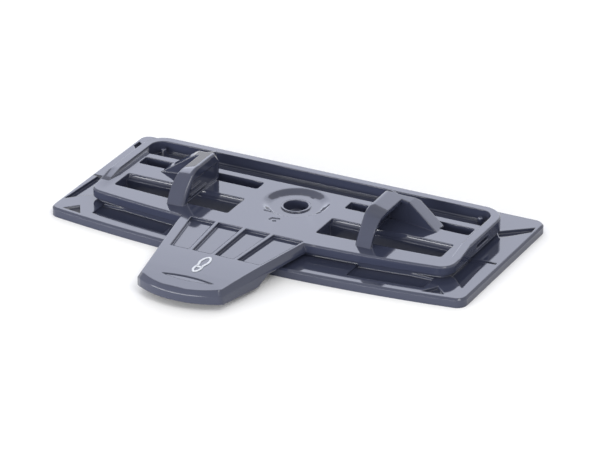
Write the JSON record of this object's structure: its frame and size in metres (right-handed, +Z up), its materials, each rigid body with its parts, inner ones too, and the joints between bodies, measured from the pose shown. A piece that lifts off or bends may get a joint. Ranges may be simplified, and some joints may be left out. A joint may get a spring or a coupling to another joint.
{
  "type": "mop pad tray",
  "caption": "Moulded tray that clips under a steam mop's head: bowed base plate, raised slotted deck, steam port, latch hooks and a foot pedal in front.",
  "frame": {"origin": "on the floor plane, under the middle of the whole part's box", "axes": "+X to the tray's right, +Y to its back, away from the pedal, +Z up"},
  "size_m": [0.29, 0.203, 0.0348],
  "materials": {
    "tray": "glossy blue-black moulded plastic"
  },
  "bodies": {
    "root": {"tray": "tray"}
  },
  "joints": []
}
